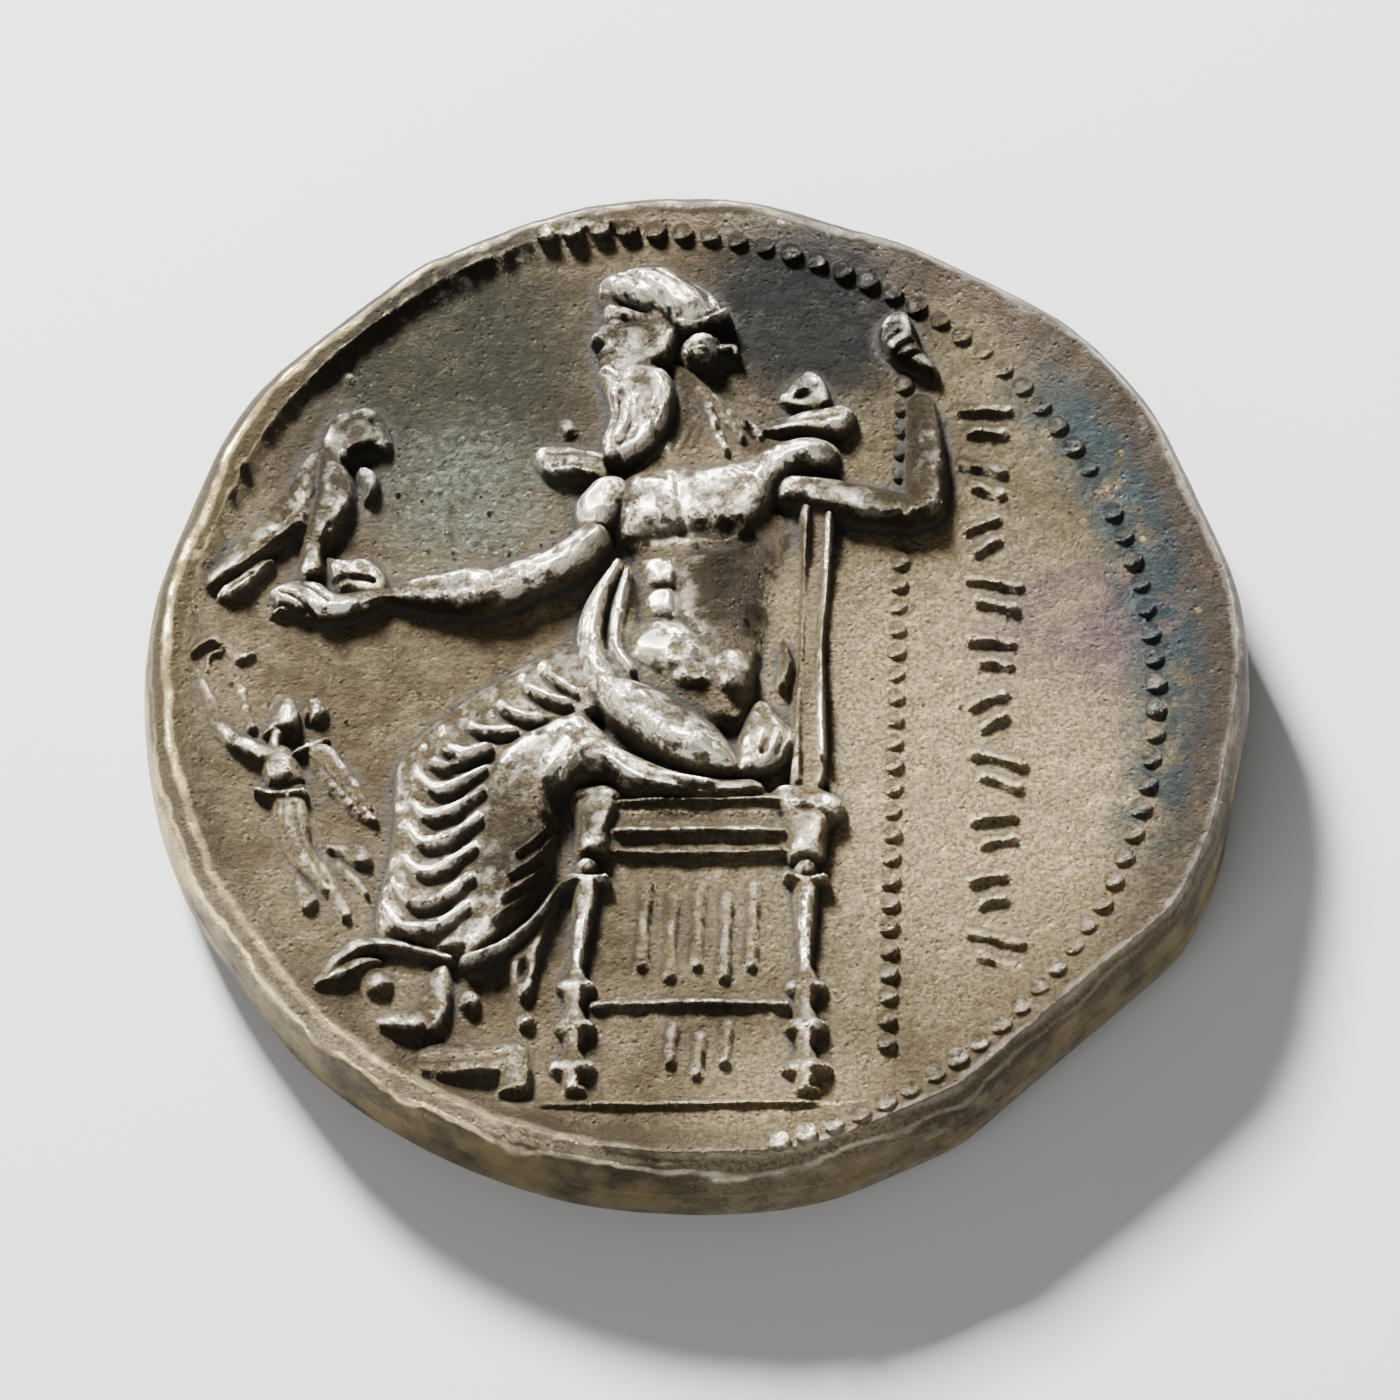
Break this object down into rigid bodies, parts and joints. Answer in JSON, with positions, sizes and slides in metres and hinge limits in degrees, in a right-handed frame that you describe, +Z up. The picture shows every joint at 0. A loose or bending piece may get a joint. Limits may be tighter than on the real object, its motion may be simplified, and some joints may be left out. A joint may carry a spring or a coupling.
{
  "type": "ancient silver coin",
  "caption": "Thick hand-struck round silver coin, lying flat: a seated bearded figure on a throne in high relief inside a beaded border, a rosette and wreath on the underside.",
  "frame": {"origin": "on the surface the coin lies on, under the middle of the coin's box", "axes": "+Z up out of the picture side, +Y up the picture towards the figure's head, +X towards the figure's back"},
  "size_m": [0.0272, 0.0272, 0.0044],
  "materials": {
    "silver": "aged silver, brown toning, worn bright on the relief"
  },
  "bodies": {
    "root": {"coin": "silver"}
  },
  "joints": []
}
